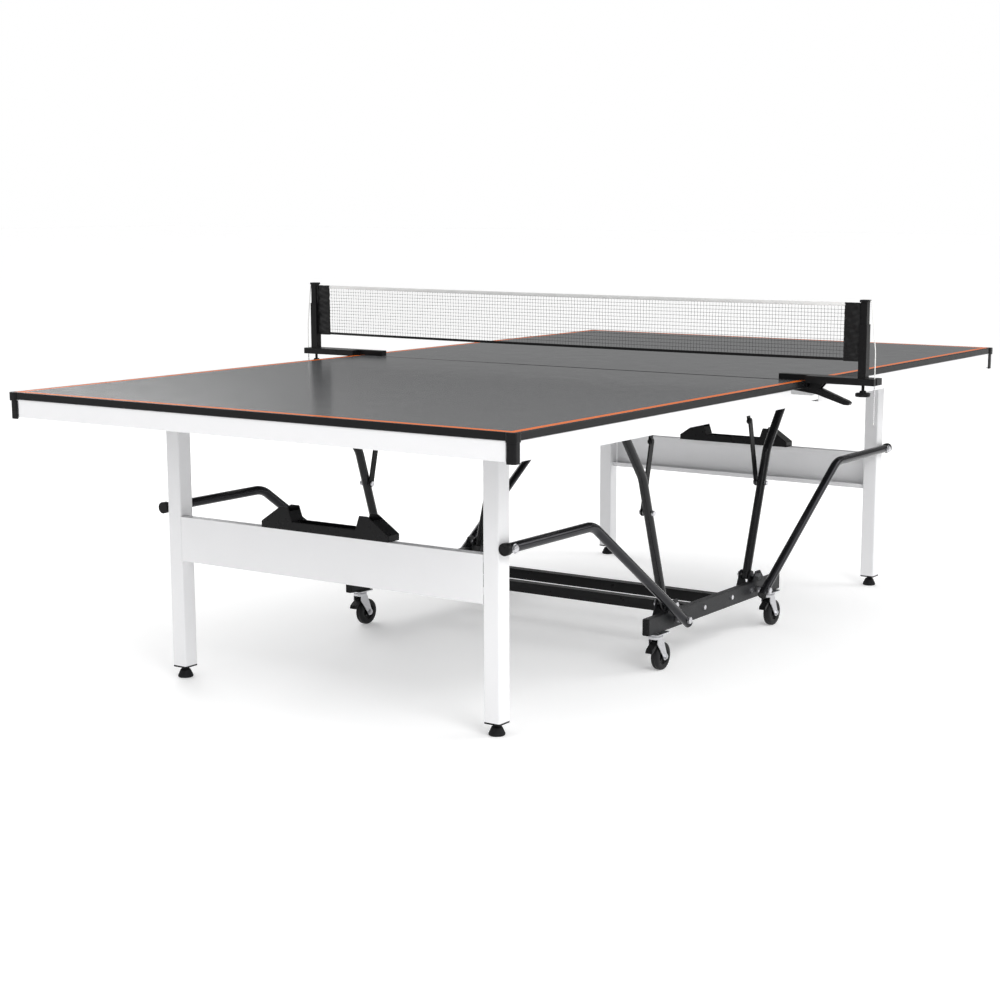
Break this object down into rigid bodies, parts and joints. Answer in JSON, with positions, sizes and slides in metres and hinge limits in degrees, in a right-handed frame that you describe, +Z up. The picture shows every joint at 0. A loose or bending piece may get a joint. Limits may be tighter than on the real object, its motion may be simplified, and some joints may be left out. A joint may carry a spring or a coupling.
{
  "type": "folding table tennis table",
  "caption": "Folding table tennis table: two half tops on a wheeled trolley, hinged leg frames, link rods, lock stays and a clip-on net set.",
  "frame": {"origin": "on the floor under the middle of the playing surface", "axes": "+X along the length towards the half that carries the net set, +Y across the width, +Z up"},
  "size_m": [2.748, 1.924, 0.978],
  "materials": {
    "board": "painted slate grey, semi-gloss, with a thin orange border line",
    "edge_band": "black edge band, semi-gloss",
    "white_steel": "white powder coat, satin",
    "black_steel": "black powder coat, satin",
    "charcoal_steel": "charcoal powder coat, satin",
    "black_tube": "black gloss coat on round tube",
    "zinc_steel": "bright zinc plate",
    "black_plastic": "moulded, fine grain",
    "black_rubber": "matt black",
    "wheel_rubber": "dark rubber tread with a black hub",
    "net_fabric": "open knotted mesh with a white tape, a black band and black sleeves",
    "cord": "thin white braided cord"
  },
  "bodies": {
    "trolley": {"side_bars": "charcoal_steel", "bar_caps": "black_plastic", "cross_bars": "black_steel", "tube_brackets": "black_steel", "trolley_bolts": "zinc_steel", "caster_plates": "zinc_steel"},
    "near_half": {"near_board": "board", "near_edge_band": "edge_band", "near_apron": "white_steel", "near_corner_caps": "black_plastic", "near_brackets": "black_steel"},
    "near_tubes": {"near_support_tubes": "black_tube", "near_stay_bolts": "zinc_steel"},
    "near_stay_low": {"near_stay_lower": "black_steel"},
    "near_stay_up": {"near_stay_upper": "black_steel"},
    "near_leg_frame": {"near_legs": "white_steel", "near_leg_panel": "white_steel", "near_tray": "black_plastic", "near_leg_plugs": "black_plastic"},
    "near_foot_l": {"near_foot_left": "black_rubber"},
    "near_foot_r": {"near_foot_right": "black_rubber"},
    "near_rods": {"near_leg_rods": "black_tube", "near_rod_fittings": "black_plastic"},
    "far_half": {"far_board": "board", "far_edge_band": "edge_band", "far_apron": "white_steel", "far_corner_caps": "black_plastic", "far_brackets": "black_steel", "net_arms": "black_steel"},
    "far_tubes": {"far_support_tubes": "black_tube", "far_stay_bolts": "zinc_steel"},
    "far_stay_low": {"far_stay_lower": "black_steel"},
    "far_stay_up": {"far_stay_upper": "black_steel"},
    "far_leg_frame": {"far_legs": "white_steel", "far_leg_panel": "white_steel", "far_tray": "black_plastic", "far_leg_plugs": "black_plastic"},
    "far_foot_l": {"far_foot_left": "black_rubber"},
    "far_foot_r": {"far_foot_right": "black_rubber"},
    "far_rods": {"far_leg_rods": "black_tube", "far_rod_fittings": "black_plastic"},
    "caster_1_swivel": {"caster_fork_1": "zinc_steel"},
    "caster_1_roller": {"caster_wheel_1": "wheel_rubber"},
    "caster_1_pedal": {"caster_brake_1": "black_plastic"},
    "caster_2_swivel": {"caster_fork_2": "zinc_steel"},
    "caster_2_roller": {"caster_wheel_2": "wheel_rubber"},
    "caster_2_pedal": {"caster_brake_2": "black_plastic"},
    "caster_3_swivel": {"caster_fork_3": "zinc_steel"},
    "caster_3_roller": {"caster_wheel_3": "wheel_rubber"},
    "caster_3_pedal": {"caster_brake_3": "black_plastic"},
    "caster_4_swivel": {"caster_fork_4": "zinc_steel"},
    "caster_4_roller": {"caster_wheel_4": "wheel_rubber"},
    "caster_4_pedal": {"caster_brake_4": "black_plastic"},
    "net_frame": {"net_posts": "black_steel", "net_cloth": "net_fabric", "net_cords": "cord"},
    "net_jaw_l": {"net_jaw_left": "black_steel"},
    "net_knob_l": {"net_knob_left": "black_plastic"},
    "net_jaw_r": {"net_jaw_right": "black_steel"},
    "net_knob_r": {"net_knob_right": "black_plastic"}
  },
  "joints": [
    {"name": "near_tube_swing", "type": "hinge", "parent": "trolley", "child": "near_tubes", "pos_m": [-0.24, 0, 0.165], "axis": [0, 1, 0], "range_deg": [0, 24.01]},
    {"name": "near_fold", "type": "hinge", "parent": "near_tubes", "child": "near_half", "pos_m": [-0.5, 0, 0.705], "axis": [0, 1, 0], "range_deg": [0, 56]},
    {"name": "near_leg_fold", "type": "hinge", "parent": "near_half", "child": "near_leg_frame", "pos_m": [-0.97, 0, 0.712], "axis": [0, -1, 0], "range_deg": [0, 71.03]},
    {"name": "near_rod_swing", "type": "hinge", "parent": "trolley", "child": "near_rods", "pos_m": [-0.235, 0, 0.128], "axis": [0, 1, 0], "range_deg": [0, 53.99]},
    {"name": "near_stay_low_swing", "type": "hinge", "parent": "near_tubes", "child": "near_stay_low", "pos_m": [-0.32387, 0, 0.42375], "axis": [0, -1, 0], "range_deg": [0, 58.37]},
    {"name": "near_stay_up_swing", "type": "hinge", "parent": "near_half", "child": "near_stay_up", "pos_m": [-0.254, 0, 0.715], "axis": [0, 1, 0], "range_deg": [0, 46.53]},
    {"name": "near_foot_l_screw", "type": "hinge", "parent": "near_leg_frame", "child": "near_foot_l", "pos_m": [-1.057, 0.4975, 0.02], "axis": [0, 0, 1], "continuous": true},
    {"name": "near_foot_r_screw", "type": "hinge", "parent": "near_leg_frame", "child": "near_foot_r", "pos_m": [-1.057, -0.4975, 0.02], "axis": [0, 0, 1], "continuous": true},
    {"name": "far_tube_swing", "type": "hinge", "parent": "trolley", "child": "far_tubes", "pos_m": [0.24, 0, 0.165], "axis": [0, -1, 0], "range_deg": [0, 24.01]},
    {"name": "far_fold", "type": "hinge", "parent": "far_tubes", "child": "far_half", "pos_m": [0.5, 0, 0.705], "axis": [0, -1, 0], "range_deg": [0, 56], "deforming": ["net_cloth"]},
    {"name": "far_leg_fold", "type": "hinge", "parent": "far_half", "child": "far_leg_frame", "pos_m": [0.97, 0, 0.712], "axis": [0, 1, 0], "range_deg": [0, 71.03]},
    {"name": "far_rod_swing", "type": "hinge", "parent": "trolley", "child": "far_rods", "pos_m": [0.235, 0, 0.128], "axis": [0, -1, 0], "range_deg": [0, 53.99]},
    {"name": "far_stay_low_swing", "type": "hinge", "parent": "far_tubes", "child": "far_stay_low", "pos_m": [0.32387, 0, 0.42375], "axis": [0, 1, 0], "range_deg": [0, 58.37]},
    {"name": "far_stay_up_swing", "type": "hinge", "parent": "far_half", "child": "far_stay_up", "pos_m": [0.254, 0, 0.715], "axis": [0, -1, 0], "range_deg": [0, 46.53]},
    {"name": "far_foot_l_screw", "type": "hinge", "parent": "far_leg_frame", "child": "far_foot_l", "pos_m": [1.057, 0.4975, 0.02], "axis": [0, 0, 1], "continuous": true},
    {"name": "far_foot_r_screw", "type": "hinge", "parent": "far_leg_frame", "child": "far_foot_r", "pos_m": [1.057, -0.4975, 0.02], "axis": [0, 0, 1], "continuous": true},
    {"name": "caster_1_turn", "type": "hinge", "parent": "trolley", "child": "caster_1_swivel", "pos_m": [-0.326, 0.5, 0.094], "axis": [0, 0, 1], "continuous": true},
    {"name": "caster_1_roll", "type": "hinge", "parent": "caster_1_swivel", "child": "caster_1_roller", "pos_m": [-0.299, 0.5, 0.0375], "axis": [0, 1, 0], "continuous": true},
    {"name": "caster_1_brake", "type": "hinge", "parent": "caster_1_swivel", "child": "caster_1_pedal", "pos_m": [-0.324, 0.5, 0.0793], "axis": [0, -1, 0], "range_deg": [0, 10]},
    {"name": "caster_2_turn", "type": "hinge", "parent": "trolley", "child": "caster_2_swivel", "pos_m": [-0.326, -0.5, 0.094], "axis": [0, 0, 1], "continuous": true},
    {"name": "caster_2_roll", "type": "hinge", "parent": "caster_2_swivel", "child": "caster_2_roller", "pos_m": [-0.299, -0.5, 0.0375], "axis": [0, 1, 0], "continuous": true},
    {"name": "caster_2_brake", "type": "hinge", "parent": "caster_2_swivel", "child": "caster_2_pedal", "pos_m": [-0.324, -0.5, 0.0793], "axis": [0, -1, 0], "range_deg": [0, 10]},
    {"name": "caster_3_turn", "type": "hinge", "parent": "trolley", "child": "caster_3_swivel", "pos_m": [0.326, 0.5, 0.094], "axis": [0, 0, 1], "continuous": true},
    {"name": "caster_3_roll", "type": "hinge", "parent": "caster_3_swivel", "child": "caster_3_roller", "pos_m": [0.353, 0.5, 0.0375], "axis": [0, 1, 0], "continuous": true},
    {"name": "caster_3_brake", "type": "hinge", "parent": "caster_3_swivel", "child": "caster_3_pedal", "pos_m": [0.328, 0.5, 0.0793], "axis": [0, -1, 0], "range_deg": [0, 10]},
    {"name": "caster_4_turn", "type": "hinge", "parent": "trolley", "child": "caster_4_swivel", "pos_m": [0.326, -0.5, 0.094], "axis": [0, 0, 1], "continuous": true},
    {"name": "caster_4_roll", "type": "hinge", "parent": "caster_4_swivel", "child": "caster_4_roller", "pos_m": [0.353, -0.5, 0.0375], "axis": [0, 1, 0], "continuous": true},
    {"name": "caster_4_brake", "type": "hinge", "parent": "caster_4_swivel", "child": "caster_4_pedal", "pos_m": [0.328, -0.5, 0.0793], "axis": [0, -1, 0], "range_deg": [0, 10]},
    {"name": "net_height", "type": "slide", "parent": "far_half", "child": "net_frame", "axis": [0, 0, -1], "range_m": [0, 0.055]},
    {"name": "net_jaw_left_squeeze", "type": "hinge", "parent": "far_half", "child": "net_jaw_l", "pos_m": [0.024, 0.776, 0.74], "axis": [1, 0, 0], "range_deg": [0, 10], "stiffness_Nm_per_rad": 4, "springref_deg": -20.05},
    {"name": "net_knob_left_turn", "type": "hinge", "parent": "far_half", "child": "net_knob_l", "pos_m": [0, 0.925, 0.732], "axis": [0, 0, 1], "continuous": true},
    {"name": "net_jaw_right_squeeze", "type": "hinge", "parent": "far_half", "child": "net_jaw_r", "pos_m": [0.024, -0.776, 0.74], "axis": [-1, 0, 0], "range_deg": [0, 10], "stiffness_Nm_per_rad": 4, "springref_deg": -20.05},
    {"name": "net_knob_right_turn", "type": "hinge", "parent": "far_half", "child": "net_knob_r", "pos_m": [0, -0.925, 0.732], "axis": [0, 0, 1], "continuous": true}
  ],
  "couplings": [
    {"joint": "near_tube_swing", "follows": "near_fold", "ratio": 0.42857},
    {"joint": "near_leg_fold", "follows": "near_fold", "ratio": 1.2681},
    {"joint": "near_rod_swing", "follows": "near_fold", "ratio": 0.96369},
    {"joint": "near_stay_low_swing", "follows": "near_fold", "ratio": 1.0419},
    {"joint": "near_stay_up_swing", "follows": "near_fold", "ratio": 0.83045},
    {"joint": "far_tube_swing", "follows": "far_fold", "ratio": 0.42857},
    {"joint": "far_leg_fold", "follows": "far_fold", "ratio": 1.2681},
    {"joint": "far_rod_swing", "follows": "far_fold", "ratio": 0.96369},
    {"joint": "far_stay_low_swing", "follows": "far_fold", "ratio": 1.0419},
    {"joint": "far_stay_up_swing", "follows": "far_fold", "ratio": 0.83045}
  ]
}
